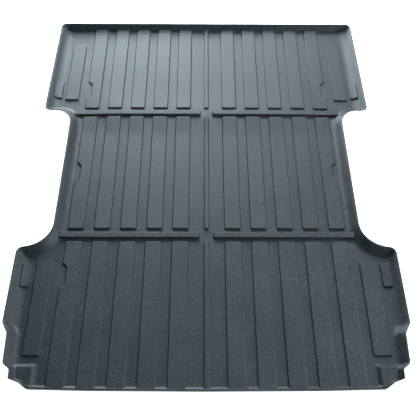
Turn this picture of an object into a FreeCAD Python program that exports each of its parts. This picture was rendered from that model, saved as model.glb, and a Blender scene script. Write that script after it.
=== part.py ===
# Truck bed liner: one sheet of moulded TPE that lies on the floor of a pickup's load bed.
# The sheet is divided along its own moulded features: three floor panels, the low leaning
# wall around them, and the raised lands, ribs, cross bars and pads that stand on them.
# Millimetres, +Z up. The tailgate edge is at -Y, the cab end at +Y, and the origin is on
# the underside at the middle of the liner's length and width.
import FreeCAD, Part
import math
import os
import re

import Sketcher

Vector = FreeCAD.Vector

# Driving dimensions. A "station" is a distance forward from the rear end of the lands.
DIMENSIONS = {
    # the moulded sheet and its raised lands
    "sheet_thickness": 4.0,
    "pitch": 106.0,
    "land_width": 67.0,
    "rib_width": 21.0,
    "land_rise": 7.0,
    "land_draft": 26.6,
    "shell_wall": 4.5,
    "notch_depth": 20.0,
    "notch_length": 112.0,
    # stations of the three panels of lands
    "rear_land_start": 4.0,
    "rear_land_end": 607.0,
    "middle_land_start": 666.0,
    "middle_land_end": 1284.5,
    "front_land_start": 1340.5,
    "front_land_end": 1940.0,
    "rear_notch_centre": 449.0,
    "middle_notch_centre": 961.0,
    "front_notch_centre": 1461.0,
    # lands and pads beside the wheel housings
    "side_land_centre": 630.0,
    "side_land_width": 65.0,
    "rear_side_land_start": 118.0,
    "rear_side_land_end": 512.0,
    "front_side_land_start": 1395.0,
    "front_side_land_end": 1777.0,
    "pad_inner": 677.0,
    "pad_width": 36.0,
    "pad_rise": 7.0,
    "rear_pad_start": 398.0,
    "rear_pad_end": 505.0,
    "front_pad_start": 1405.0,
    "front_pad_end": 1509.0,
    # cross bars between the panels
    "bar_inner": 27.0,
    "rear_bar_outer": 577.0,
    "front_bar_outer": 588.0,
    "bar_base": 30.0,
    "bar_rise": 12.0,
    "bar_draft": 20.6,
    "rear_bar_centre": 635.0,
    "front_bar_centre": 1309.5,
    # outline of the rim, outside edge: half width, station and radius of each corner
    "rim_height": 38.0,
    "rear_edge": -11.0,
    "front_edge": 1913.0,
    "sill_half_width": 622.0,
    "sill_station": -9.0,
    "sill_radius": 30.0,
    "corner_half_width": 686.0,
    "corner_station": 22.0,
    "corner_radius": 10.0,
    "notch_half_width": 688.0,
    "notch_station": 52.0,
    "notch_radius": 12.0,
    "tail_half_width": 714.0,
    "tail_station": 76.0,
    "tail_radius": 15.0,
    "jog_half_width": 720.0,
    "jog_station": 190.0,
    "jog_radius": 22.0,
    "side_half_width": 743.0,
    "side_station": 232.0,
    "side_radius": 36.0,
    "shoulder_half_width": 742.0,
    "shoulder_station": 562.0,
    "shoulder_radius": 28.0,
    "arch_half_width": 615.0,
    "arch_rear_station": 578.0,
    "arch_rear_radius": 115.0,
    "arch_front_station": 1306.0,
    "arch_front_radius": 75.0,
    "wing_half_width": 740.0,
    "wing_radius": 22.0,
    "front_half_width": 735.0,
    "front_radius": 26.0,
    # stations where the wall beside a wheel housing starts and ends
    "arch_wall_start": 528.0,
    "arch_wall_end": 1345.0,
    # walls: how far each leans out, the width of its rim edge, and the hollow beneath it
    "rim_width": 5.5,
    "side_run": 31.0,
    "front_run": 18.0,
    "corner_run": 10.0,
    "foot_miter": 1.6,
    "smallest_radius": 4.0,
    "hollow_share": 0.6,
    # rear sill and the raised steps in the rear corners
    "sill_height": 11.0,
    "sill_ramp": 9.0,
    "step_height": 16.0,
    "step_inner": 600.0,
    "step_front": 90.0,
    "step_slope": 14.0,
    "relief_width": 60.0,
    "relief_length": 66.0,
}

# How far a cutting shape reaches past what it cuts.
CLEAR = 10.0
# How fast an inside corner's radius grows as the outline is drawn in.
CONCAVE_GROWTH = 0.6
# How far the room inside the tray runs out over the tailgate edge.
OPEN_REACH = 60.0

os.makedirs("parts", exist_ok=True)
doc = FreeCAD.newDocument("TruckBedLiner")
sheet = doc.addObject("Spreadsheet::Sheet", "Sheet")
for row, (alias, value) in enumerate(DIMENSIONS.items(), start=1):
    sheet.set(f"A{row}", alias)
    sheet.set(f"B{row}", str(value))
    sheet.setAlias(f"B{row}", alias)
doc.recompute()


def size(alias):
    """The value of one of the sheet's cells."""
    return float(getattr(sheet, alias))


def cells(formula):
    """The formula with each alias written as a reference to the sheet."""
    return re.sub(r"[a-z_]+", lambda word: "Sheet." + word.group()
                  if word.group() in DIMENSIONS else word.group(), formula)


def number(formula):
    """The formula's present value."""
    value = sheet.evalExpression(cells(formula))
    return float(getattr(value, "Value", value))


# The frame's origin is half way between the rear edge and the front edge.
MIDDLE = "(front_edge + rear_edge) / 2"


# ---------------------------------------------------------------- sketched pieces

def origin_plane(body, role):
    return next(item for item in body.Origin.OriginFeatures if item.Role == role)


def polygon_sketch(body, name, points, role="XY_Plane", height=None):
    """A closed polygon whose corners are bound to formulas of the sheet's cells."""
    sketch = body.newObject("Sketcher::SketchObject", name)
    sketch.AttachmentSupport = [(origin_plane(body, role), "")]
    sketch.MapMode = "FlatFace"
    if height:
        sketch.setExpression("AttachmentOffset.Base.z", cells(height))
    places = [Vector(number(across), number(along), 0) for across, along in points]
    count = len(places)
    for index in range(count):
        sketch.addGeometry(Part.LineSegment(places[index], places[(index + 1) % count]))
    for index in range(count):
        sketch.addConstraint(Sketcher.Constraint("Coincident", index, 2, (index + 1) % count, 1))
    for index, point in enumerate(points):
        for kind, axis, formula in (("DistanceX", -2, point[0]), ("DistanceY", -1, point[1])):
            value = number(formula)
            if abs(value) < 1e-9:
                sketch.addConstraint(Sketcher.Constraint("PointOnObject", index, 1, axis))
                continue
            made = sketch.addConstraint(Sketcher.Constraint(kind, -1, 1, index, 1, value))
            sketch.setExpression(f"Constraints[{made}]", cells(formula))
    return sketch


def rectangle(width, length, inset="0"):
    """Corners of a rectangle whose low corner is the body's origin, drawn in by inset."""
    left, right = f"{inset}", f"{width} - {inset}"
    low, high = f"{inset}", f"{length} - {inset}"
    return [(left, low), (right, low), (right, high), (left, high)]


def notched(width, length, centre, side, inset="0"):
    """The same rectangle with a trapezoid notch in its left or right edge."""
    shift = f"{inset} * tan(22.5 deg)"
    start = f"{centre} - notch_length / 2 - {shift}"
    end = f"{centre} + notch_length / 2 + {shift}"
    low, high = f"{inset}", f"{length} - {inset}"
    if side == "right":
        edge, flat, far = f"{width} - {inset}", f"{width} - notch_depth - {inset}", f"{inset}"
    else:
        edge, flat, far = f"{inset}", f"notch_depth + {inset}", f"{width} - {inset}"
    return [(far, low), (edge, low), (edge, start), (flat, f"{start} + notch_depth"),
            (flat, f"{end} - notch_depth"), (edge, end), (edge, high), (far, high)]


def raised_shell(label, outline, hollow, place, rise, draft, trim=None):
    """A hollow-backed raised feature: a seat as deep as the sheet and a tapered crown.

    outline and hollow are its corners at the foot, outside and inside. trim is an end that
    meets its neighbour square or on a slope: corners in the body's YZ plane to be removed.
    """
    body = doc.addObject("PartDesign::Body", label)
    body.Label = label
    seat = body.newObject("PartDesign::Pad", "Seat")
    seat.Profile = polygon_sketch(body, "SeatOutline", outline)
    seat.setExpression("Length", cells("sheet_thickness"))
    crown = body.newObject("PartDesign::Pad", "Crown")
    crown.Profile = polygon_sketch(body, "CrownOutline", outline, height="sheet_thickness")
    crown.setExpression("Length", cells(rise))
    crown.setExpression("TaperAngle", cells(f"-{draft}"))
    underside = body.newObject("PartDesign::Pocket", "Underside")
    underside.Profile = polygon_sketch(body, "HollowOutline", hollow)
    underside.Reversed = True
    underside.setExpression("Length", cells(rise))
    underside.setExpression("TaperAngle", cells(f"-{draft}"))
    body.Tip = underside
    if trim:
        end = body.newObject("PartDesign::Pocket", "End")
        end.Profile = polygon_sketch(body, "EndOutline", trim, role="YZ_Plane")
        end.Type = 1
        end.Midplane = True
        body.Tip = end
    body.setExpression("Placement.Base.x", cells(place[0]))
    body.setExpression("Placement.Base.y", cells(f"{place[1]} - {MIDDLE}"))
    return body


# Columns 1 to 5 of lands on each side of the centre rib, for one panel between two
# stations. The outermost land has a notch in its outer edge.
def land_panel(panel, start, end, notch, trim):
    lands = []
    length = f"({end} - {start})"
    centre = f"({notch} - {start})"
    for side, sign in (("left", -1), ("right", 1)):
        for column in range(1, 6):
            place = (f"{sign} * {column} * pitch - land_width / 2", start)
            if column == 5:
                outline = notched("land_width", length, centre, side)
                hollow = notched("land_width", length, centre, side, "shell_wall")
            else:
                outline = rectangle("land_width", length)
                hollow = rectangle("land_width", length, "shell_wall")
            lands.append(raised_shell(f"land_{panel}_{side}_{column}", outline, hollow, place,
                                      "land_rise", "land_draft", trim))
    lands.append(raised_shell(f"rib_{panel}_centre", rectangle("rib_width", length),
                              rectangle("rib_width", length, "shell_wall"),
                              ("-rib_width / 2", start), "land_rise", "land_draft", trim))
    return lands


def side_lands(panel, start, end):
    length = f"({end} - {start})"
    return [raised_shell(f"side_land_{panel}_{side}", rectangle("side_land_width", length),
                         rectangle("side_land_width", length, "shell_wall"),
                         (f"{sign} * side_land_centre - side_land_width / 2", start),
                         "land_rise", "land_draft")
            for side, sign in (("left", -1), ("right", 1))]


def cross_bars(panel, centre):
    bars = []
    length = f"({panel}_bar_outer - bar_inner)"
    for side, low in (("left", f"-{panel}_bar_outer"), ("right", "bar_inner")):
        bars.append(raised_shell(f"cross_bar_{panel}_{side}", rectangle(length, "bar_base"),
                                 rectangle(length, "bar_base", "shell_wall"),
                                 (low, f"{centre} - bar_base / 2"), "bar_rise", "bar_draft"))
    return bars


# The front lands run into the leaning front wall: their ends follow its foot and its slope.
FOOT_FRONT = "(front_edge - rim_width - front_run)"
SLOPE = "front_run / (rim_height - sheet_thickness)"
FRONT_TRIM = [
    (f"{FOOT_FRONT} - front_land_start", "0"),
    (f"{FOOT_FRONT} - front_land_start", "sheet_thickness"),
    (f"{FOOT_FRONT} - front_land_start + 2 * land_rise * {SLOPE}", "sheet_thickness + 2 * land_rise"),
    ("front_land_end + pitch - front_land_start", "sheet_thickness + 2 * land_rise"),
    ("front_land_end + pitch - front_land_start", "0"),
]
# The rear lands are cut square where they meet the sill: they start behind it.
REAR_TRIM = [("0", "0"), ("pitch", "0"), ("pitch", "2 * sill_height"), ("0", "2 * sill_height")]

rear_lands = land_panel("rear", "(rear_land_start - pitch)", "rear_land_end", "rear_notch_centre",
                        REAR_TRIM)
middle_lands = land_panel("middle", "middle_land_start", "middle_land_end",
                          "middle_notch_centre", None)
front_lands = land_panel("front", "front_land_start", "front_land_end", "front_notch_centre",
                         FRONT_TRIM)
rear_side_lands = side_lands("rear", "rear_side_land_start", "rear_side_land_end")
front_side_lands = side_lands("front", "front_side_land_start", "front_side_land_end")
rear_bars = cross_bars("rear", "rear_bar_centre")
front_bars = cross_bars("front", "front_bar_centre")


# ---------------------------------------------------------------- outline of the tray

def unit(start, end):
    return (end - start).normalize()


def rim_corners():
    """Corners of the rim's right half, outside edge, rear to front: point and radius."""
    names = [
        ("sill_half_width", "sill_station", "sill_radius"),
        ("corner_half_width", "corner_station", "corner_radius"),
        ("notch_half_width", "notch_station", "notch_radius"),
        ("tail_half_width", "tail_station", "tail_radius"),
        ("jog_half_width", "jog_station", "jog_radius"),
        ("side_half_width", "side_station", "side_radius"),
        ("shoulder_half_width", "shoulder_station", "shoulder_radius"),
        ("arch_half_width", "arch_rear_station", "arch_rear_radius"),
        ("arch_half_width", "arch_front_station", "arch_front_radius"),
        ("wing_half_width", "arch_front_station", "wing_radius"),
        ("front_half_width", "front_edge", "front_radius"),
    ]
    return [(Vector(size(across), size(station)), size(radius)) for across, station, radius in names]


def wall_runs():
    """How far the wall under each edge of the outline leans out, from the rear edge on."""
    side, front, corner = size("side_run"), size("front_run"), size("corner_run")
    return [0, corner, side, side, side, side, side, side, side, side, side, front]


def inset_corners(rim, run_share, rear_reach):
    """The corners drawn in by a rim width and a share of each wall's run.

    rear_reach is how far the rear edge, which has no wall, is moved out instead.
    """
    corners = rim_corners()
    points = [Vector(0, size("rear_edge"))] + [point for point, radius in corners]
    points.append(Vector(0, corners[-1][0].y))
    lines = []
    for index, run in enumerate(wall_runs()):
        along = unit(points[index], points[index + 1])
        inward = Vector(-along.y, along.x)
        depth = rim + run * run_share if index else -rear_reach
        lines.append((points[index] + inward * depth, along))
    result = []
    for index, (corner, radius) in enumerate(corners):
        (base, along), (other, onward) = lines[index], lines[index + 1]
        reach = (other - base).cross(onward).z / along.cross(onward).z
        turn = along.cross(onward).z
        depth = rim + wall_runs()[index + 1] * run_share
        grown = radius - depth if turn > 0 else radius + CONCAVE_GROWTH * depth
        result.append((base + along * reach, max(grown, size("smallest_radius"))))
    return result


def rounded_wire(corners, height):
    """The whole closed outline at a height: straight runs joined by arcs at the corners."""
    mirrored = [(Vector(-point.x, point.y), radius) for point, radius in reversed(corners)]
    loop = [(Vector(point.x, point.y, height), radius) for point, radius in corners + mirrored]
    arcs = []
    for index, (corner, radius) in enumerate(loop):
        back = unit(corner, loop[index - 1][0])
        on = unit(corner, loop[(index + 1) % len(loop)][0])
        half = back.getAngle(on) / 2
        reach = radius / math.tan(half)
        centre = corner + (back + on).normalize() * (radius / math.sin(half))
        middle = centre + (corner - centre).normalize() * radius
        arcs.append(Part.Arc(corner + back * reach, middle, corner + on * reach).toShape())
    edges = []
    for index, arc in enumerate(arcs):
        before = arcs[index - 1].Vertexes[-1].Point
        edges.append(Part.LineSegment(before, arc.Vertexes[0].Point).toShape())
        edges.append(arc)
    return Part.Wire(edges)


def outline(height, outside, rear_reach=0.0):
    """The tray's section at a height, on the outside or the inside of its wall."""
    bottom = 0.0 if outside else size("sheet_thickness")
    run_share = 1 - (height - bottom) / (size("rim_height") - bottom)
    rim = 0.0 if outside else size("rim_width")
    if outside:
        rim = (size("rim_width") - size("foot_miter")) * run_share
    return rounded_wire(inset_corners(rim, run_share, rear_reach), height)


def box(low, high):
    span = Vector(*high) - Vector(*low)
    return Part.makeBox(span.x, span.y, span.z, Vector(*low))


def slab(wire, thickness):
    return Part.Face(wire).extrude(Vector(0, 0, thickness))


def placed_feature(label, shape):
    """A node with a shape of its own, moved from stations into the frame."""
    feature = doc.addObject("Part::Feature", label)
    feature.Label = label
    feature.Shape = shape
    feature.Placement = FreeCAD.Placement(Vector(0, -number(MIDDLE), 0), FreeCAD.Rotation())
    return feature


thickness = size("sheet_thickness")
rim_top = size("rim_height")
rear_edge = size("rear_edge")
front_edge = size("front_edge")
half = size("side_half_width") + CLEAR
behind = rear_edge - CLEAR
foot_front = number(FOOT_FRONT)

# The tray is the outer form less the room inside it, which is open at the rear.
outer_form = Part.makeLoft([outline(0, True), outline(rim_top, True)], True, True)
room = Part.makeLoft([outline(thickness, False, OPEN_REACH),
                      outline(rim_top, False, OPEN_REACH)], True, True)
foot = slab(outline(thickness, False), -thickness)


# ---------------------------------------------------------------- walls

def corner_relief():
    """What is cut away above the wall that falls from the rear corner to the sill."""
    low, high = size("sill_half_width"), size("corner_half_width")
    lip, inner, above = size("step_height"), low - size("relief_width"), rim_top + 2 * CLEAR
    profile = [Vector(inner, behind, lip), Vector(low, behind, lip), Vector(high, behind, rim_top),
               Vector(high, behind, above), Vector(inner, behind, above)]
    wedge = Part.Face(Part.makePolygon(profile + profile[:1]))
    wedge = wedge.extrude(Vector(0, size("relief_length"), 0))
    return wedge.fuse(wedge.mirror(Vector(), Vector(1, 0, 0)))


ring = outer_form.cut(room).cut(foot).cut(corner_relief())
ring = ring.cut(box((-size("step_inner"), behind, -CLEAR),
                    (size("step_inner"), size("relief_length"), rim_top)))
wall_top = rim_top + CLEAR
arch_start, arch_end = size("arch_wall_start"), size("arch_wall_end")
wall_end = foot_front - size("rim_width")
front_wall = placed_feature("front_wall", ring.common(
    box((-half, wall_end, -CLEAR), (half, front_edge + CLEAR, wall_top))))
walls = [front_wall]
for side, low, high in (("left", -half, 0), ("right", 0, half)):
    for name, start, end in (("side_wall_rear", behind, arch_start),
                             ("arch_wall", arch_start, arch_end),
                             ("side_wall_front", arch_end, wall_end)):
        zone = box((low, start, -CLEAR), (high, end, wall_top))
        walls.append(placed_feature(f"{name}_{side}", ring.common(zone)))


# ---------------------------------------------------------------- rear corners and sill

def corner_step(side, sign):
    """The raised step in a rear corner: sloped in front and inboard, hollow beneath."""
    inner, front = size("step_inner"), size("step_front")
    top, slope = size("step_height"), size("step_slope")

    def block(shrink, low, high, crown):
        base = [Vector(inner + shrink, behind, 0), Vector(half, behind, 0),
                Vector(half, front - shrink, 0), Vector(inner + shrink, front - shrink, 0)]
        seat = Part.Face(Part.makePolygon([point + Vector(0, 0, low) for point in base + base[:1]]))
        seat = seat.extrude(Vector(0, 0, high - low))
        upper = [Vector(inner + shrink + slope, behind, crown), Vector(half, behind, crown),
                 Vector(half, front - shrink - slope, crown),
                 Vector(inner + shrink + slope, front - shrink - slope, crown)]
        lower = [point + Vector(0, 0, high) for point in base]
        crown_solid = Part.makeLoft([Part.makePolygon(lower + lower[:1]),
                                     Part.makePolygon(upper + upper[:1])], True, True)
        return seat.fuse(crown_solid).removeSplitter()

    shell = size("shell_wall")
    outer = block(0, 0, thickness, top)
    hollow = block(shell, -CLEAR, 0, top - thickness)
    step = outer.common(room.fuse(foot)).cut(hollow.common(inside_walls()))
    if sign < 0:
        step = step.mirror(Vector(), Vector(1, 0, 0))
    return placed_feature(f"corner_step_{side}", step)


def inside_walls():
    """The room drawn in from the walls, for the hollow under a corner step."""
    shell, below = size("shell_wall"), -1.0
    lower = rounded_wire(inset_corners(size("rim_width") + shell, 1, -shell), below)
    upper = rounded_wire(inset_corners(size("rim_width") + shell, size("hollow_share"), -shell),
                         size("step_height"))
    return Part.makeLoft([lower, upper], True, True)


steps = [corner_step("left", -1), corner_step("right", 1)]


def sill():
    """The bar along the tailgate edge, with a ramp down into each channel between lands."""
    reach, top = size("step_inner"), size("sill_height")
    ramp, start = size("sill_ramp"), size("rear_land_start")
    bar = box((-reach, rear_edge, 0), (reach, start, top))
    edges = [size("rib_width") / 2]
    for column in range(1, 6):
        middle = column * size("pitch")
        edges += [middle - size("land_width") / 2, middle + size("land_width") / 2]
    edges.append(reach)
    for low, high in zip(edges[0::2], edges[1::2]):
        profile = [Vector(low, start, thickness), Vector(low, start, top + CLEAR),
                   Vector(low, start - ramp, top + CLEAR), Vector(low, start - ramp, top)]
        wedge = Part.Face(Part.makePolygon(profile + profile[:1]))
        wedge = wedge.extrude(Vector(high - low, 0, 0))
        bar = bar.cut(wedge).cut(wedge.mirror(Vector(), Vector(1, 0, 0)))
    return placed_feature("rear_sill", bar)


rear_sill = sill()


# ---------------------------------------------------------------- floor panels

doc.recompute()
seats = [*rear_lands, *middle_lands, *front_lands, *rear_side_lands, *front_side_lands,
         *rear_bars, *front_bars]


def window(body):
    """The opening that a raised feature sits in: the outline of its foot, full depth."""
    seat = next(item for item in body.Group if item.Name.startswith("Seat")
                and item.TypeId == "PartDesign::Pad")
    opening = seat.Shape.copy()
    opening.translate(body.Placement.Base + Vector(0, number(MIDDLE), 0))
    return opening


rear_split, front_split = size("rear_bar_centre"), size("front_bar_centre")
floor_over = thickness + CLEAR
floor = foot.cut(box((-half, behind, -CLEAR), (half, size("rear_land_start"), floor_over)))
for sign in (-1, 1):
    reach = sorted((sign * size("step_inner"), sign * half))
    floor = floor.cut(box((reach[0], behind, -CLEAR),
                          (reach[1], size("step_front"), floor_over)))
floor = floor.cut([window(body) for body in seats])
floors = []
for name, start, end in (("floor_rear", rear_edge, rear_split),
                         ("floor_middle", rear_split, front_split),
                         ("floor_front", front_split, front_edge)):
    zone = box((-half, start, -CLEAR), (half, end, floor_over))
    floors.append(placed_feature(name, floor.common(zone)))


# ---------------------------------------------------------------- pads at the wall foot

# A pad lies on the floor and the leaning wall: its top is their surface lifted by its rise.
def wall_pads(panel, start, end):
    pads = []
    length = f"({end} - {start})"
    for side, low in (("left", "-pad_inner - pad_width"), ("right", "pad_inner")):
        body = doc.addObject("PartDesign::Body", f"Block_{panel}_{side}")
        block = body.newObject("PartDesign::Pad", "Block")
        block.Profile = polygon_sketch(body, "BlockOutline", rectangle("pad_width", length),
                                       height="sheet_thickness")
        block.setExpression("Length", cells("rim_height - sheet_thickness"))
        body.Tip = block
        body.setExpression("Placement.Base.x", cells(low))
        body.setExpression("Placement.Base.y", cells(f"{start} - {MIDDLE}"))
        held = doc.addObject("Part::Common", f"Held_{panel}_{side}")
        held.Base = body
        held.Tool = tray_room
        pad = doc.addObject("Part::Cut", f"wall_pad_{panel}_{side}")
        pad.Label = f"wall_pad_{panel}_{side}"
        pad.Base = held
        pad.Tool = lifted_room
        pads.append(pad)
    return pads


tray_room = placed_feature("TrayRoom", room)
lifted_room = placed_feature("LiftedRoom", room)
lifted_room.setExpression("Placement.Base.z", cells("pad_rise"))
pads = [*wall_pads("rear", "rear_pad_start", "rear_pad_end"),
        *wall_pads("front", "front_pad_start", "front_pad_end")]
doc.recompute()


# ---------------------------------------------------------------- check and write

nodes = [*floors, *walls, rear_sill, *steps, *seats, *pads]
for item in doc.Objects:
    if {"Invalid", "Error"} & set(item.State):
        raise RuntimeError(f"{item.Label} is in state {item.State}")
for node in nodes:
    shape = node.Shape
    if shape.isNull() or not shape.isValid() or len(shape.Solids) != 1:
        raise RuntimeError(f"{node.Label}: {len(shape.Solids)} solids, valid {shape.isValid()}")
for node in nodes:
    node.Shape.exportStep(f"parts/{node.Label}.step")
print(len(nodes), "nodes")
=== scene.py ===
"""Truck bed liner: the looks of a one-piece moulded TPE mat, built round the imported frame.

Metres, in the frame's own axes: +Y forward to the cab, +Z up, underside at z = 0.
A "station" is a distance forward from the rear ends of the lands.
"""
import math

import bpy
from mathutils import Matrix, Vector, noise
from mathutils.geometry import delaunay_2d_cdt


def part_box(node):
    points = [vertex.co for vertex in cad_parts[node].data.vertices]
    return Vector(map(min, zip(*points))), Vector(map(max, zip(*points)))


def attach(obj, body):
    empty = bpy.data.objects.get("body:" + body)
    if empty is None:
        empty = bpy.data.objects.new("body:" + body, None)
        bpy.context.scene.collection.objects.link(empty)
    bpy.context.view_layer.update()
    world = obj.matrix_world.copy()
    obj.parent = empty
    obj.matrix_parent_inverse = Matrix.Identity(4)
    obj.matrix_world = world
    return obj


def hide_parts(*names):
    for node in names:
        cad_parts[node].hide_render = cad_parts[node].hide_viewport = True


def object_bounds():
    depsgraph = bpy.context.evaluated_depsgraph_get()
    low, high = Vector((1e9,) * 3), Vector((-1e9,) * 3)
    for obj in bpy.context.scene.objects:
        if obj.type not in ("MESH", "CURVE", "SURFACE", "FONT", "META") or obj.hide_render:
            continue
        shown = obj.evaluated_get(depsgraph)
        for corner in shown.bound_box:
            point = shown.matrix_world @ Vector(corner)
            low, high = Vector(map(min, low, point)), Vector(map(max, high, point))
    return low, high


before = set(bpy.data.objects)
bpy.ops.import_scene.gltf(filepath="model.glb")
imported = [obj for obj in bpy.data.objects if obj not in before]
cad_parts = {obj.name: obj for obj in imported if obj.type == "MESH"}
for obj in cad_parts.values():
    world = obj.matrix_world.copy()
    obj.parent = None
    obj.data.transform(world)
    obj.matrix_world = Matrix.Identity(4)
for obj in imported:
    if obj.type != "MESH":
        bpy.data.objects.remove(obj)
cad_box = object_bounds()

SHEET = 0.004            # thickness of the sheet
RIM_HEIGHT = cad_box[1].z
REAR_LIP = 0.011         # how far the rear edge lies behind station zero
STATION_ZERO = cad_box[0].y + REAR_LIP
FRONT = cad_box[1].y - STATION_ZERO
SMALLEST_RADIUS = 0.0006
CONCAVE_GROWTH = 0.6     # how fast an inside corner's radius grows as a loop is drawn in
IN_LINE = 1e-3           # sine of a turn under which two runs are one line
LEAST_TURN = 0.5         # degrees under which a corner gets no arc
ARC_STEP = 9             # degrees of turn for each step of an arc
SMOOTH_TO = 60           # degrees between faces up to which they are shaded smooth
PANELS = ("rear", "middle", "front")
SIDES = (("left", -1), ("right", 1))


# ---------------------------------------------------------------- loops of points

def left_normal(direction):
    return Vector((-direction.y, direction.x))


def crossing(point_a, along_a, point_b, along_b):
    """Where two lines meet."""
    across = along_a.x * along_b.y - along_a.y * along_b.x
    gap = point_b - point_a
    return point_a + along_a * ((gap.x * along_b.y - gap.y * along_b.x) / across)


def inset_loop(corners, insets):
    """A loop of rounded corners drawn inward, each run by its own inset.

    corners holds (point, radius), counter-clockwise. insets[i] is for the run after
    corner i. A corner with no turn keeps its place along the run.
    """
    count = len(corners)
    runs = []
    for index, (point, radius) in enumerate(corners):
        along = (corners[(index + 1) % count][0] - point).normalized()
        runs.append((point + left_normal(along) * insets[index], along))
    drawn = []
    for index, (point, radius) in enumerate(corners):
        before, after = runs[index - 1], runs[index]
        turn = before[1].x * after[1].y - before[1].y * after[1].x
        depth = (insets[index - 1] + insets[index]) / 2
        if abs(turn) < IN_LINE:
            drawn.append((point + left_normal(after[1]) * insets[index], 0.0))
            continue
        grown = radius - depth if turn > 0 else radius + CONCAVE_GROWTH * depth
        drawn.append((crossing(*before, *after), max(grown, SMALLEST_RADIUS)))
    return drawn


def loop_counts(corners, spacing):
    """How many steps each corner's arc and each run takes; spacing(i) is for run i."""
    count = len(corners)
    counts = []
    for index, (point, radius) in enumerate(corners):
        back = (corners[index - 1][0] - point).normalized()
        on = corners[(index + 1) % count][0] - point
        turn = math.degrees(math.pi - back.angle(on.normalized()))
        arc = 0 if turn < LEAST_TURN else max(2, math.ceil(turn / ARC_STEP))
        counts.append((arc, max(1, math.ceil(on.length / spacing(index)))))
    return counts


def loop_points(corners, counts):
    """The loop's points, with the run each belongs to and how far along it is.

    On a corner's arc the second number runs from -1 to 0, before the run that follows.
    """
    total = len(corners)
    ends = []
    for index, (point, radius) in enumerate(corners):
        if counts[index][0] == 0:
            ends.append((point, point, None))
            continue
        back = (corners[index - 1][0] - point).normalized()
        on = (corners[(index + 1) % total][0] - point).normalized()
        half = back.angle(on) / 2
        reach = radius / math.tan(half)
        centre = point + (back + on).normalized() * (radius / math.sin(half))
        ends.append((point + back * reach, point + on * reach, centre))
    points = []
    for index, (start, end, centre) in enumerate(ends):
        arc, steps = counts[index]
        if arc:
            first, last = start - centre, end - centre
            sweep = first.angle_signed(last)
            for step in range(arc):
                share = step / arc
                angle = -sweep * share
                spoke = Vector((first.x * math.cos(angle) - first.y * math.sin(angle),
                                first.x * math.sin(angle) + first.y * math.cos(angle)))
                points.append((centre + spoke, index, share - 1))
        goal = ends[(index + 1) % total][0]
        for step in range(steps):
            share = step / steps
            points.append((end.lerp(goal, share), index, share))
    return points


# ---------------------------------------------------------------- mesh of a piece

class Shell:
    """Vertices and faces of one closed piece."""

    def __init__(self):
        self.points = []
        self.faces = []

    def ring(self, points):
        first = len(self.points)
        self.points.extend(points)
        return list(range(first, len(self.points)))

    def bridge(self, ring_a, ring_b, flip=False):
        count = len(ring_a)
        for index in range(count):
            following = (index + 1) % count
            face = [ring_a[index], ring_a[following], ring_b[following], ring_b[index]]
            self.faces.append(face[::-1] if flip else face)

    def fill(self, border, holes, inner, height, flip=False):
        """Triangles between a border ring and hole rings, with loose points inside."""
        known = border + [index for hole in holes for index in hole]
        flat = [Vector(self.points[index][:2]) for index in known]
        flat += [Vector(point) for point in inner]
        outlines = [list(range(len(border)))]
        first = len(border)
        for hole in holes:
            outlines.append(list(range(first, first + len(hole))))
            first += len(hole)
        result = delaunay_2d_cdt(flat, [], outlines, 1, 1e-6)
        places, triangles, origins, sources = result[0], result[2], result[3], result[5]
        index_of = {}
        for triangle, source in zip(triangles, sources):
            if any(number > 0 for number in source):
                continue
            for corner in triangle:
                if corner in index_of:
                    continue
                place, origin = places[corner], origins[corner]
                if origin and min(origin) < len(known):
                    index_of[corner] = known[min(origin)]
                else:
                    index_of[corner] = len(self.points)
                    self.points.append((place.x, place.y, height(place.x, place.y)))
            face = [index_of[corner] for corner in triangle]
            self.faces.append(face[::-1] if flip else face)

    def piece(self, name, material, slot):
        mesh = bpy.data.meshes.new(name)
        mesh.from_pydata([tuple(point) for point in self.points], [], self.faces)
        mesh.validate()
        mesh.polygons.foreach_set("use_smooth", [True] * len(mesh.polygons))
        mesh.set_sharp_from_angle(angle=math.radians(SMOOTH_TO))
        mesh.update()
        made = bpy.data.objects.new(name, mesh)
        bpy.context.scene.collection.objects.link(made)
        mesh.materials.append(material)
        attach(made, "root")
        return made


# ---------------------------------------------------------------- shape of the sheet

LIP_HEIGHT = 0.0112
# Corners of the rim's right half, outside edge, from the tailgate to the cab:
# distance from the centre line, station, radius, height of the rim.
RIM = [
    (0.400, -0.0085, 0.300, LIP_HEIGHT),
    (0.628, -0.003, 0.014, LIP_HEIGHT),
    (0.654, 0.015, 0.020, 0.026),
    (0.688, 0.023, 0.008, RIM_HEIGHT),
    (0.689, 0.058, 0.012, RIM_HEIGHT),
    (0.716, 0.080, 0.015, RIM_HEIGHT),
    (0.721, 0.196, 0.022, RIM_HEIGHT),
    (0.744, 0.236, 0.036, RIM_HEIGHT),
    (0.745, 0.562, 0.030, RIM_HEIGHT),
    (0.615, 0.578, 0.115, RIM_HEIGHT),
    (0.615, 1.306, 0.075, RIM_HEIGHT),
    (0.740, 1.306, 0.022, RIM_HEIGHT),
    (0.735, FRONT, 0.026, RIM_HEIGHT),
]
LAST = len(RIM)
REAR_RUNS = (0, 1)       # the tailgate edge, each side of its slight bend
SIDE_RUN, FRONT_RUN = 8, LAST
REAR_SIDE, FRONT_SIDE = RIM[7:9], RIM[11:13]
# One value for each run of the rim, from the tailgate edge to the front wall: how far in from
# the outside edge the foot of the wall and the top of the rim are, and how far the fillet at
# the foot reaches past it, as a share of the wall's run.
SIDE_FOOT = 0.0365
FOOT = [0.0150] * 2 + [0.0155] * 2 + [0.0260, 0.0300] + [SIDE_FOOT] * (LAST - 6) + [0.0235]
EDGE = [0.0060] * 2 + [0.0030] * (LAST - 1)
FILLET = [0.3] * 4 + [0.15, 0.2, 0.3, 0.3] + [0.7] + [0.3] * 3 + [0.7, 0.15]
LIP_HEEL = 0.0005        # how far in the foot of the rear face stands
LEAN = math.radians(45)  # how far the walls lean out
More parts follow.
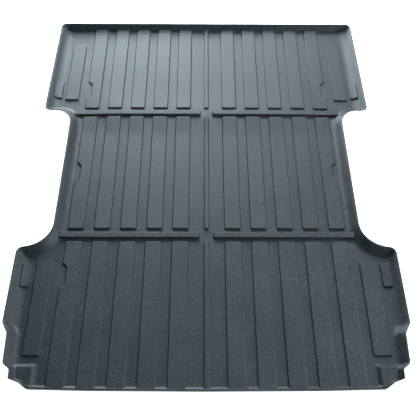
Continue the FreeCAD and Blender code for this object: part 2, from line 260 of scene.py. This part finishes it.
# The raised steps in the rear corners.
STEP_HEIGHT = 0.016
STEP_INNER, STEP_FRONT, STEP_SLOPE = 0.600, 0.090, 0.014
STEP_BLEND = 0.003       # how softly a step runs into the wall above it
# How the mat lies: its mean height off the ground, the height of its slow waves, and a rise
# along the front cross bars that fades towards the wheel housings.
MEAN_STAND, SLOW_WAVE = 0.0012, 0.00045
HUMP_CENTRE, HUMP_HEIGHT, HUMP_LENGTH = 1.31, 0.004, 0.10
HUMP_HALF_WIDTH, HUMP_FADE = 0.42, 0.14
# Waves along the rim and dents in the walls: heights, and how fine they are.
RIM_WAVE, RIM_WAVE_SCALE = 0.0007, 9
DENT, HOUSING_DENT, DENT_SCALE = 0.0003, 0.0009, 24
HOUSING_START, HOUSING_END, HOUSING_FADE, HOUSING_EDGE = 0.50, 1.36, 0.06, 0.70
# Rings of the rim's rounded edge: inset and drop, and the same two along the rear lip.
RIM_EDGE = ((0.0022, 0.0001, 0.0016, 0.0), (0.0006, 0.0012, 0.0005, 0.0005),
            (0.0002, 0.0022, 0.0001, 0.0018))
# Spacing of points along the tailgate edge, and along other long and short runs.
LIP_SPACING, LONG_SPACING, SHORT_SPACING, LONG_RUN = 0.008, 0.015, 0.005, 0.15
# Grids of loose points, moved off the lands' own lines, and their distance from a window.
FLOOR_GRID, FLOOR_NUDGE, GRID_MARGIN = 0.021, (0.0003, 0.0004), 0.003
STEP_GRID, STEP_GRID_START = (0.0032, 0.0041), (-0.004, 0.008)
# Rings of the wall, as shares of the way from the rim to the end of the fillet.
SECTION = (1.0, 0.93, 0.86, 0.79, 0.71, 0.63, 0.54, 0.44, 0.33, 0.17, 0.0)


def rim_loop():
    """The whole rim, from the middle of the tailgate edge round the right half and back."""
    right = [(Vector((x, STATION_ZERO + station)), radius) for x, station, radius, height in RIM]
    left = [(Vector((-point.x, point.y)), radius) for point, radius in reversed(right)]
    return [(Vector((0.0, cad_box[0].y)), 0.0)] + right + left


def run_number(index):
    """Which of the rim's runs follows corner index: 0 is the tailgate edge."""
    return index if index <= LAST else 2 * LAST - index


def smooth(value):
    value = min(max(value, 0.0), 1.0)
    return value * value * (3 - 2 * value)


def settle(x, y):
    """How far the mat stands off the ground: it never lies quite flat."""
    station = y - STATION_ZERO
    along = math.sin(4.1 * station + 0.8) + 0.6 * math.sin(9.3 * station + 1.7 * x + 2.0)
    across = math.sin(3.7 * x + 1.1 + 0.9 * station)
    fade = smooth((abs(x) - HUMP_HALF_WIDTH) / HUMP_FADE)
    hump = math.exp(-((station - HUMP_CENTRE) / HUMP_LENGTH) ** 2) * (1 - fade)
    return MEAN_STAND + SLOW_WAVE * (along + 0.5 * across) + HUMP_HEIGHT * hump


def ramp(value):
    """A straight ramp from 0 to 1 with rounded ends."""
    rounding = 0.25
    value = min(max(value, 0.0), 1.0)
    if value > 0.5:
        return 1 - ramp(1 - value)
    if value < rounding:
        return value * value / (2 * rounding * (1 - rounding))
    return (value - rounding / 2) / (1 - rounding)


def corner_step(x, y):
    """How far the raised steps in the rear corners stand above the floor."""
    station = y - STATION_ZERO
    inward = ramp((abs(x) - STEP_INNER) / STEP_SLOPE)
    behind = ramp((STEP_FRONT - station) / STEP_SLOPE)
    return (STEP_HEIGHT - SHEET) * inward * behind


def floor_top(x, y):
    return SHEET + corner_step(x, y) + settle(x, y)


def floor_under(x, y):
    return corner_step(x, y) + settle(x, y)


def climb(share, fillet):
    """How high the wall is at a share of its run in from the rim, as a share of its rise.

    The wall leans straight out to the rim, and a fillet joins its foot to the floor.
    """
    if share <= 1 - fillet:
        return 1 - share
    return max(1 + fillet - share, 0.0) ** 2 / (4 * fillet)


def rim_wave(x, y):
    """The small waves a moulded rim takes on when it is packed and unpacked."""
    return RIM_WAVE * noise.noise(Vector((RIM_WAVE_SCALE * x, RIM_WAVE_SCALE * y, 1.3)))


def dents(x, y):
    """Shallow dents in the walls, deepest along the wheel housings."""
    station = y - STATION_ZERO
    housing = (smooth((station - HOUSING_START) / HOUSING_FADE)
               * smooth((HOUSING_END - station) / HOUSING_FADE))
    depth = DENT + HOUSING_DENT * housing * (abs(x) < HOUSING_EDGE)
    return depth * noise.noise(Vector((DENT_SCALE * x, DENT_SCALE * y, 7.9)))


def rim_state(places, runs):
    """At each place: the rim's height, its share in the rear lip, and the foot's fillet."""
    right = [corner[3] for corner in RIM]
    corner_heights = [LIP_HEIGHT] + right + right[::-1]
    state = []
    for point, index, along in places:
        before, run = runs[index - 1], runs[index]
        height = corner_heights[index]
        if along < 0:
            lip = (before in REAR_RUNS) * -along + (run in REAR_RUNS) * (1 + along)
            fillet = FILLET[before] * -along + FILLET[run] * (1 + along)
        else:
            following = corner_heights[(index + 1) % len(corner_heights)]
            height += (following - height) * along
            lip = float(run in REAR_RUNS)
            fillet = FILLET[run]
        state.append((max(height, SHEET + corner_step(point.x, point.y)), lip, fillet))
    return state


def skin():
    """The floor, walls, rim, rear lip and corner steps as one continuous moulded sheet."""
    loop = rim_loop()
    runs = [run_number(index) for index in range(len(loop))]
    lengths = [(loop[(i + 1) % len(loop)][0] - loop[i][0]).length for i in range(len(loop))]

    def spacing(index):
        if runs[index] in REAR_RUNS:
            return LIP_SPACING
        return LONG_SPACING if lengths[index] > LONG_RUN else SHORT_SPACING

    counts = loop_counts(loop, spacing)

    def ring_places(insets):
        return loop_points(inset_loop(loop, insets), counts)

    state = rim_state(ring_places([0.0] * len(loop)), runs)
    shell = Shell()
    tops, unders = [], []
    for reach in SECTION:
        run_in = [EDGE[run] + (FOOT[run] - EDGE[run]) * reach * (1 + FILLET[run]) for run in runs]
        run_under = []
        for inset, run in zip(run_in, runs):
            share = reach * (1 + FILLET[run])
            slope = min(1.0, (1 + FILLET[run] - share) / (2 * FILLET[run])) * LEAN
            run_under.append(LIP_HEEL if reach == 0 and run in REAR_RUNS
                             else inset - SHEET * math.sin(slope))
        beneath = ring_places(run_under)
        top, under = [], []
        for i, (point, index, along) in enumerate(ring_places(run_in)):
            x, y = point
            rim, lip, fillet = state[i]
            share = reach * (1 + fillet)
            risen = climb(share, fillet)
            slope = min(1.0, (1 + fillet - share) / (2 * fillet)) * LEAN
            lift = settle(x, y) + rim_wave(x, y) * risen ** 2
            lift += dents(x, y) * 4 * risen * (1 - risen)
            wall = SHEET + (rim - SHEET) * risen
            step = corner_step(x, y)
            blend = STEP_BLEND * step / (STEP_HEIGHT - SHEET)
            over = wall - SHEET - step
            high = SHEET + step + (over + math.sqrt(over * over + blend * blend)) / 2
            top.append((x, y, high + lift))
            spot = beneath[i][0]
            low = max(high - SHEET * math.cos(slope), 0.0) * (1 - lip)
            under.append((spot.x, spot.y, low + lift))
        tops.append(shell.ring(top))
        unders.append(shell.ring(under))

    def edge_ring(inset, drop, lip_inset, lip_drop):
        """A ring of the rim's rounded edge, by its inset and its drop below the rim's top."""
        places = ring_places([lip_inset if run in REAR_RUNS else inset for run in runs])
        ring = []
        for i, (point, index, along) in enumerate(places):
            rim, lip, fillet = state[i]
            fall = drop + (lip_drop - drop) * lip
            lift = settle(point.x, point.y) + rim_wave(point.x, point.y)
            ring.append((point.x, point.y, rim - fall + lift))
        return shell.ring(ring)

    chain = [tops[-1]] + [edge_ring(*ring) for ring in RIM_EDGE] + [unders[-1]]
    for rings in (tops, chain):
        for inner, outer in zip(rings, rings[1:]):
            shell.bridge(inner, outer, flip=True)
    for inner, outer in zip(unders, unders[1:]):
        shell.bridge(inner, outer)

    windows = [footprint.window() for footprint in FOOTPRINTS.values()]
    loose = floor_points(shell, tops[0], windows)
    over = [shell.ring([(x, y, floor_top(x, y)) for x, y in window]) for window in windows]
    below = [shell.ring([(x, y, floor_under(x, y)) for x, y in window]) for window in windows]
    shell.fill(tops[0], over, loose, floor_top)
    shell.fill(unders[0], below, loose, floor_under, flip=True)
    for high, low in zip(over, below):
        shell.bridge(high, low)
    return shell


def inside(x, y, outline):
    """Whether a point is inside a closed outline."""
    crossings = False
    for (ax, ay), (bx, by) in zip(outline, outline[1:] + outline[:1]):
        if (ay > y) != (by > y) and x < ax + (y - ay) / (by - ay) * (bx - ax):
            crossings = not crossings
    return crossings


def floor_points(shell, border, windows):
    """Loose points of the floor: an even grid, and a finer one over the corner steps."""
    outline = [tuple(shell.points[index][:2]) for index in border]
    boxes = []
    for window in windows:
        xs, ys = zip(*window)
        boxes.append((min(xs), max(xs), min(ys), max(ys)))
    spots = []
    for column in range(-35, 36):
        for row in range(93):
            spots.append((FLOOR_GRID * column + FLOOR_NUDGE[0],
                          STATION_ZERO + FLOOR_GRID * row + FLOOR_NUDGE[1]))
    for side in (-1, 1):
        for column in range(24):
            for row in range(22):
                x = STEP_INNER + STEP_GRID_START[0] + STEP_GRID[0] * column
                y = STATION_ZERO + STEP_GRID_START[1] + STEP_GRID[1] * row
                spots.append((side * x, y))
    kept = []
    for x, y in spots:
        if any(low_x - GRID_MARGIN < x < high_x + GRID_MARGIN
               and low_y - GRID_MARGIN < y < high_y + GRID_MARGIN
               for low_x, high_x, low_y, high_y in boxes):
            continue
        if inside(x, y, outline):
            kept.append((x, y))
    return kept


# ---------------------------------------------------------------- raised pieces

# Sections of a raised piece: distance in from its outline and height, for a rise of 7 mm
# above a 4 mm sheet. The back is hollow.
RISE = 0.007
OUTER = ((-0.0012, 0.0040), (-0.0004, 0.0041), (0.0, 0.0044), (0.0003, 0.0052),
         (0.0012, 0.0085), (0.0015, 0.0095), (0.0021, 0.0103), (0.0030, 0.0108),
         (0.0040, 0.0110), (0.0052, 0.0110))
INNER = ((-0.0015, 0.00005), (0.0039, 0.00005), (0.0047, 0.0005), (0.0074, 0.0062),
         (0.0086, 0.0070))
SOLID = ((-0.0015, 0.0020),)
CORNER = 0.0075          # radius of a land's corners at its foot
WINDOW_MARGIN = 0.0009
OUTLINE_SPACING, WINDOW_SPACING = 0.012, 0.02
# Loose points in a top wider than NARROW: spacing of their rows, and their columns.
NARROW, ROW_SPACING, TOP_COLUMNS = 0.03, 0.012, (0.25, 0.5, 0.75)
LANDS_PER_SIDE = 5
NOTCH_CENTRE = {"rear": 0.449, "middle": 0.961, "front": 1.461}
NOTCH_DEPTH, NOTCH_HALF = 0.020, 0.056
# Where a piece runs into a wall or lip: how far past it starts or ends, how far the floor's
# window stops short of that, and how far the wall leans out for each unit of height.
REAR_LAND_START, REAR_WINDOW_STOP = 0.004, 0.0170
FRONT_LAND_END, FRONT_WINDOW_STOP = 0.002, 0.0105
FRONT_LEAN = (FOOT[FRONT_RUN] - EDGE[FRONT_RUN]) / (RIM_HEIGHT - SHEET)
BAR_REACH = {"rear": 0.582, "front": 0.594}
BAR_WINDOW_STOP, BAR_LEAN = 0.018, 1.0


class Footprint:
    """The outline of a raised piece at its foot.

    plain holds the runs that end inside a wall, each with how far the floor's window stops
    short of it and how far it leans out for each unit of height.
    """

    def __init__(self, corners, plain=None, rise=RISE, inner=INNER):
        self.plain = plain or {}
        self.corners = []
        for index, point in enumerate(corners):
            buried = index in self.plain or (index - 1) % len(corners) in self.plain
            self.corners.append((Vector(point), SMALLEST_RADIUS if buried else CORNER))
        self.rise = rise
        self.inner = inner

    def ring(self, inset, level):
        """The outline at a height: drawn inward by inset, except where a run is plain."""
        insets = []
        for run in range(len(self.corners)):
            lean = self.plain[run][1] if run in self.plain else 0.0
            above = self.grown(level) - SHEET
            insets.append(-lean * above if run in self.plain else inset)
        loop = inset_loop(self.corners, insets)
        counts = loop_counts(self.corners, lambda run: OUTLINE_SPACING)
        return [point for point, index, along in loop_points(loop, counts)]

    def grown(self, level):
        """A height of the common section, stretched to this piece's rise."""
        return level if level < SHEET else SHEET + (level - SHEET) * self.rise / RISE

    def window(self):
        insets = [self.plain[run][0] if run in self.plain else -WINDOW_MARGIN
                  for run in range(len(self.corners))]
        loop = inset_loop(self.corners, insets)
        counts = loop_counts(self.corners, lambda run: WINDOW_SPACING)
        return [tuple(point) for point, index, along in loop_points(loop, counts)]


def raised(footprint, base, crown):
    """A raised piece over the surface base(x, y), its top lifted by crown(x, y) more."""
    shell = Shell()

    def height(x, y, level):
        share = max(level - SHEET, 0.0) / RISE
        return base(x, y) + footprint.grown(level) + share * crown(x, y)

    def ring(section):
        inset, level = section
        return shell.ring([(x, y, height(x, y, level)) for x, y in footprint.ring(inset, level)])

    outer = [ring(section) for section in OUTER]
    inner = [ring(section) for section in footprint.inner]
    for low, high in zip(outer, outer[1:]):
        shell.bridge(low, high)
    for low, high in zip(inner, inner[1:]):
        shell.bridge(low, high, flip=True)
    shell.bridge(outer[0], inner[0], flip=True)
    for top, level, flip in ((outer[-1], OUTER[-1][1], False),
                             (inner[-1], footprint.inner[-1][1], True)):
        xs = [shell.points[index][0] for index in top]
        ys = [shell.points[index][1] for index in top]
        spots = []
        if max(xs) - min(xs) > NARROW and max(ys) - min(ys) > NARROW:
            outline = [tuple(shell.points[index][:2]) for index in top]
            columns = [min(xs) + (max(xs) - min(xs)) * share for share in TOP_COLUMNS]
            rows = int((max(ys) - min(ys)) / ROW_SPACING)
            for row in range(1, rows):
                y = min(ys) + (max(ys) - min(ys)) * row / rows
                spots += [(x, y) for x in columns if inside(x, y, outline)]
        shell.fill(top, [], spots, lambda x, y: height(x, y, level), flip=flip)
    return shell


def rectangle(low, high):
    return [(low.x, low.y), (high.x, low.y), (high.x, high.y), (low.x, high.y)]


def notched(low, high, centre, side):
    """A rectangle with a trapezoid notch in its outer edge."""
    edge, far = (high.x, low.x) if side > 0 else (low.x, high.x)
    flat = edge - side * NOTCH_DEPTH
    corners = [(far, low.y), (edge, low.y), (edge, centre - NOTCH_HALF),
               (flat, centre - NOTCH_HALF + NOTCH_DEPTH),
               (flat, centre + NOTCH_HALF - NOTCH_DEPTH),
               (edge, centre + NOTCH_HALF), (edge, high.y), (far, high.y)]
    return corners if side > 0 else corners[::-1]


def tailgate_edge(x):
    """The rear edge's place along the mat, at a distance from the centre line."""
    bent, end = RIM[0], RIM[1]
    middle = (0.0, cad_box[0].y - STATION_ZERO)
    low, high = (middle, bent) if abs(x) < bent[0] else (bent, end)
    return STATION_ZERO + low[1] + (high[1] - low[1]) * (abs(x) - low[0]) / (high[0] - low[0])


def land_footprint(panel, node, sign, notch):
    """One land, from its node's box. Rear lands start in the lip, front lands end in the wall."""
    low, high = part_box(node)
    if panel == "rear":
        low.y = tailgate_edge((low.x + high.x) / 2) + REAR_LAND_START
    if panel == "front":
        high.y = cad_box[1].y - FOOT[FRONT_RUN] + FRONT_LAND_END
    if notch:
        corners = notched(low, high, STATION_ZERO + NOTCH_CENTRE[panel], sign)
    else:
        corners = rectangle(low, high)
    # a mirrored notch is drawn from its front end, so its first and last runs change places
    last = len(corners) - 2
    rear_run, front_run = (last, 0) if notch and sign < 0 else (0, last)
    plain = {}
    if panel == "rear":
        plain[rear_run] = (REAR_WINDOW_STOP, 0.0)
    if panel == "front":
        plain[front_run] = (FRONT_WINDOW_STOP, FRONT_LEAN)
    return Footprint(corners, plain)


def footprints():
    """Every raised piece that stands in a window of the floor, by its node's name."""
    found = {}
    for panel in PANELS:
        name = f"rib_{panel}_centre"
        found[name] = land_footprint(panel, name, 1, False)
        for side, sign in SIDES:
            for column in range(1, LANDS_PER_SIDE + 1):
                name = f"land_{panel}_{side}_{column}"
                found[name] = land_footprint(panel, name, sign, column == LANDS_PER_SIDE)
    for panel, reach in BAR_REACH.items():
        for side, sign in SIDES:
            name = f"side_land_{panel}_{side}"
            found[name] = Footprint(rectangle(*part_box(name)))
            name = f"cross_bar_{panel}_{side}"
            low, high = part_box(name)
            if sign > 0:
                high.x = reach
            else:
                low.x = -reach
            outer_run = 1 if sign > 0 else 3
            found[name] = Footprint(rectangle(low, high), {outer_run: (BAR_WINDOW_STOP, BAR_LEAN)},
                                    rise=high.z - SHEET)
    return found


FOOTPRINTS = footprints()


# How far the middle lands tip up towards the rear and front bars: height, start and length.
REAR_TIP, REAR_TIP_START, REAR_TIP_LENGTH = 0.0012, 0.745, 0.08
FRONT_TIP, FRONT_TIP_START, FRONT_TIP_LENGTH = 0.0048, 1.187, 0.10
# The front lands' sweep up to the front wall: height, distance from the cab edge, length.
SWEEP, SWEEP_START, SWEEP_LENGTH = 0.003, 0.045, 0.025
MIDDLE_STATION = 1.0     # between the rear and front wall pads


def flat_crown(x, y):
    return 0.0


def middle_crown(x, y):
    """The middle lands tip up towards the cross bars: the mat was rolled there."""
    station = y - STATION_ZERO
    return max(REAR_TIP * (REAR_TIP_START - station) / REAR_TIP_LENGTH,
               FRONT_TIP * (station - FRONT_TIP_START) / FRONT_TIP_LENGTH, 0.0)


def front_crown(x, y):
    """The front lands sweep up a little where they meet the front wall."""
    station = y - STATION_ZERO
    return SWEEP * max((station - FRONT + SWEEP_START) / SWEEP_LENGTH, 0.0) ** 2


def side_rim(y):
    """The rim's distance from the centre line beside the wall pads, at a place along it."""
    station = y - STATION_ZERO
    low, high = REAR_SIDE if station < MIDDLE_STATION else FRONT_SIDE
    return low[0] + (high[0] - low[0]) * (station - low[1]) / (high[1] - low[1])


def wall_surface(x, y):
    """Height of the floor and side wall above the floor beside a wheel housing."""
    share = (side_rim(y) - abs(x) - EDGE[2]) / (SIDE_FOOT - EDGE[2])
    risen = climb(share, FILLET[SIDE_RUN])
    return settle(x, y) + (RIM_HEIGHT - SHEET) * risen + dents(x, y) * 4 * risen * (1 - risen)


# ---------------------------------------------------------------- material

def moulded_tpe(name, pale):
    """Charcoal thermoplastic elastomer: pebbled grain, mottled gloss and faint scuffs."""
    material = bpy.data.materials.new(name)
    material.use_nodes = True
    nodes, links = material.node_tree.nodes, material.node_tree.links
    shader = nodes["Principled BSDF"]
    place = nodes.new("ShaderNodeTexCoord")

    def noise_of(scale, detail, rough=0.5):
        node = nodes.new("ShaderNodeTexNoise")
        node.inputs["Scale"].default_value = scale
        node.inputs["Detail"].default_value = detail
        node.inputs["Roughness"].default_value = rough
        links.new(place.outputs["Object"], node.inputs["Vector"])
        return node.outputs["Fac"]

    def ranged(source, low, high, to_low, to_high):
        node = nodes.new("ShaderNodeMapRange")
        node.inputs["From Min"].default_value = low
        node.inputs["From Max"].default_value = high
        node.inputs["To Min"].default_value = to_low
        node.inputs["To Max"].default_value = to_high
        links.new(source, node.inputs["Value"])
        return node.outputs["Result"]

    def combined(operation, first, second):
        node = nodes.new("ShaderNodeMath")
        node.operation = operation
        for socket, value in zip(node.inputs, (first, second)):
            if isinstance(value, float):
                socket.default_value = value
            else:
                links.new(value, socket)
        return node.outputs["Value"]

    cloud = noise_of(5.0, 4.0)
    scuff = noise_of(38.0, 6.0, 0.65)
    grain = noise_of(900.0, 2.0)
    mottle = noise_of(150.0, 3.0)

    # colour: charcoal, a little paler where handling has polished it
    worn = combined("MULTIPLY", ranged(cloud, 0.35, 0.7, 0.0, 1.0),
                    ranged(scuff, 0.4, 0.75, 0.2, 1.0))
    worn = combined("ADD", worn, ranged(mottle, 0.35, 0.65, -0.6, 0.6))
    mix = nodes.new("ShaderNodeMix")
    mix.data_type = "RGBA"
    mix.inputs["A"].default_value = (0.020 * pale, 0.024 * pale, 0.027 * pale, 1)
    mix.inputs["B"].default_value = (0.052 * pale, 0.057 * pale, 0.061 * pale, 1)
    links.new(worn, mix.inputs["Factor"])
    links.new(mix.outputs["Result"], shader.inputs["Base Color"])

    # gloss: the grain scatters it, and scuffs dull it
    rough = combined("ADD", ranged(scuff, 0.3, 0.8, -0.03, 0.05),
                     ranged(cloud, 0.3, 0.7, 0.43, 0.49))
    rough = combined("ADD", rough, ranged(mottle, 0.35, 0.65, -0.11, 0.11))
    links.new(rough, shader.inputs["Roughness"])
    shader.inputs["IOR"].default_value = 1.5
    shader.inputs["Specular IOR Level"].default_value = 0.5

    # relief: a pebbled grain with faint diagonal drag lines from the mould
    pebble = nodes.new("ShaderNodeTexVoronoi")
    pebble.inputs["Scale"].default_value = 420.0
    links.new(place.outputs["Object"], pebble.inputs["Vector"])
    drag = nodes.new("ShaderNodeTexWave")
    drag.bands_direction = "DIAGONAL"
    drag.inputs["Scale"].default_value = 95.0
    drag.inputs["Distortion"].default_value = 2.5
    drag.inputs["Detail"].default_value = 2.0
    links.new(place.outputs["Object"], drag.inputs["Vector"])
    relief = combined("ADD", combined("MULTIPLY", pebble.outputs["Distance"], 0.8), grain)
    relief = combined("ADD", relief, combined("MULTIPLY", drag.outputs["Fac"], 0.35))
    relief = combined("ADD", relief, combined("MULTIPLY", mottle, 5.5))
    bump = nodes.new("ShaderNodeBump")
    bump.inputs["Strength"].default_value = 0.55
    bump.inputs["Distance"].default_value = 0.0004
    links.new(relief, bump.inputs["Height"])
    links.new(bump.outputs["Normal"], shader.inputs["Normal"])
    return material


# ---------------------------------------------------------------- pieces

sheet_tpe = moulded_tpe("moulded_tpe_sheet", 1.0)
land_tpe = moulded_tpe("moulded_tpe_land", 1.08)

mat = skin().piece("liner_sheet", sheet_tpe, "tpe_sheet")
sheet_nodes = [f"floor_{panel}" for panel in PANELS] + ["front_wall", "rear_sill"]
for side, sign in SIDES:
    sheet_nodes += [f"side_wall_rear_{side}", f"arch_wall_{side}", f"side_wall_front_{side}",
                    f"corner_step_{side}"]
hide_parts(*sheet_nodes)

for name, footprint in FOOTPRINTS.items():
    crown = {"middle": middle_crown, "front": front_crown}.get(name.split("_")[1], flat_crown)
    is_bar = name.startswith("cross_bar")
    material, slot = (sheet_tpe, "tpe_sheet") if is_bar else (land_tpe, "tpe_land")
    piece = raised(footprint, settle, crown).piece(name + "_moulded", material, slot)
    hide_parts(name)

for panel in ("rear", "front"):
    for side, sign in SIDES:
        name = f"wall_pad_{panel}_{side}"
        footprint = Footprint(rectangle(*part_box(name)), inner=SOLID)
        piece = raised(footprint, wall_surface, flat_crown).piece(
            name + "_moulded", land_tpe, "tpe_land")
        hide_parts(name)


# ---------------------------------------------------------------- floor, light, camera

STUDIO_REACH = 24.0
DOME_TOP = 88.0          # degrees up to which the dome rises


def studio_white(name, glow):
    material = bpy.data.materials.new(name)
    material.use_nodes = True
    shader = material.node_tree.nodes["Principled BSDF"]
    shader.inputs["Base Color"].default_value = (0.9, 0.9, 0.9, 1)
    shader.inputs["Roughness"].default_value = 1.0
    shader.inputs["Specular IOR Level"].default_value = 0.0
    shader.inputs["Emission Color"].default_value = (1, 1, 1, 1)
    shader.inputs["Emission Strength"].default_value = glow
    return material


def studio_surface(name, points, faces, glow):
    mesh = bpy.data.meshes.new(name)
    mesh.from_pydata(points, [], faces)
    mesh.materials.append(studio_white(name + "_white", glow))
    surface = bpy.data.objects.new(name, mesh)
    bpy.context.scene.collection.objects.link(surface)
    return surface


def studio_floor():
    corners = [(-1, -1), (1, -1), (1, 1), (-1, 1)]
    points = [(STUDIO_REACH * x, STUDIO_REACH * y, -0.0005) for x, y in corners]
    studio_surface("studio_floor", points, [(0, 1, 2, 3)], 1.0)


def studio_backdrop():
    """A pale dome that only the camera sees, so that it doesn't fill in the shadows."""
    around, levels = 32, 8
    points = []
    for level in range(levels):
        rise = math.radians(DOME_TOP * level / (levels - 1))
        for step in range(around):
            turn = math.tau * step / around
            points.append((STUDIO_REACH * math.cos(rise) * math.cos(turn),
                           STUDIO_REACH * math.cos(rise) * math.sin(turn),
                           STUDIO_REACH * math.sin(rise) - 0.01))
    faces = [tuple(range(around * (levels - 1), around * levels))]
    for level in range(levels - 1):
        for step in range(around):
            here, beside = level * around + step, level * around + (step + 1) % around
            faces.append((here, beside, beside + around, here + around))
    dome = studio_surface("studio_backdrop", points, faces, 0.95)
    dome.visible_diffuse = False
    dome.visible_glossy = False
    dome.visible_shadow = False


def softbox(name, place, aim, width, height, power, colour):
    light = bpy.data.lights.new(name, "AREA")
    light.shape = "RECTANGLE"
    light.size, light.size_y = width, height
    light.energy = power
    light.color = colour
    lamp = bpy.data.objects.new(name, light)
    lamp.location = place
    lamp.rotation_euler = (Vector(aim) - Vector(place)).to_track_quat("-Z", "Y").to_euler()
    bpy.context.scene.collection.objects.link(lamp)


def studio_lights():
    cool = (0.77, 0.905, 1.0)
    softbox("front_light", (-0.3, 3.2, 1.95), (-0.1, 0.4, 0.0), 2.5, 1.8, 140, cool)
    softbox("low_front_light", (-0.9, 3.2, 0.7), (-0.3, 0.4, 0.0), 1.8, 0.7, 76, cool)
    softbox("right_front_light", (2.6, 3.2, 2.5), (0.8, 0.4, 0.0), 1.3, 0.7, 46, cool)
    softbox("right_light", (3.0, 0.0, 2.6), (0.0, 0.0, 0.0), 1.2, 1.2, 74, cool)
    softbox("low_right_light", (3.0, -1.5, 0.8), (0.0, -0.7, 0.0), 1.2, 0.6, 68, cool)
    softbox("overhead", (0.0, 0.0, 4.0), (0.0, 0.0, 0.0), 1.2, 1.2, 22, cool)
    softbox("tailgate_light", (0.0, -4.0, 1.2), (0.0, 0.0, 0.0), 1.2, 1.2, 9, cool)
    world = bpy.data.worlds.new("studio")
    world.use_nodes = True
    world.node_tree.nodes["Background"].inputs["Color"].default_value = (0.8, 0.9, 1.0, 1)
    world.node_tree.nodes["Background"].inputs["Strength"].default_value = 0.03
    bpy.context.scene.world = world
    bpy.context.scene.view_settings.view_transform = "Standard"


def photo_camera():
    camera = bpy.data.cameras.new("camera")
    camera.sensor_width = 36.0
    camera.lens = 58.2
    camera.clip_end = 50.0
    holder = bpy.data.objects.new("camera", camera)
    holder.location = (-0.0147, -1.813, 2.2587)
    turn = (Matrix.Rotation(math.radians(-0.66), 3, "Z")
            @ Matrix.Rotation(math.radians(36.04), 3, "X")
            @ Matrix.Rotation(math.radians(0.65), 3, "Z"))
    holder.rotation_euler = turn.to_euler()
    bpy.context.scene.collection.objects.link(holder)
    bpy.context.scene.camera = holder


studio_floor()
studio_backdrop()
studio_lights()
photo_camera()
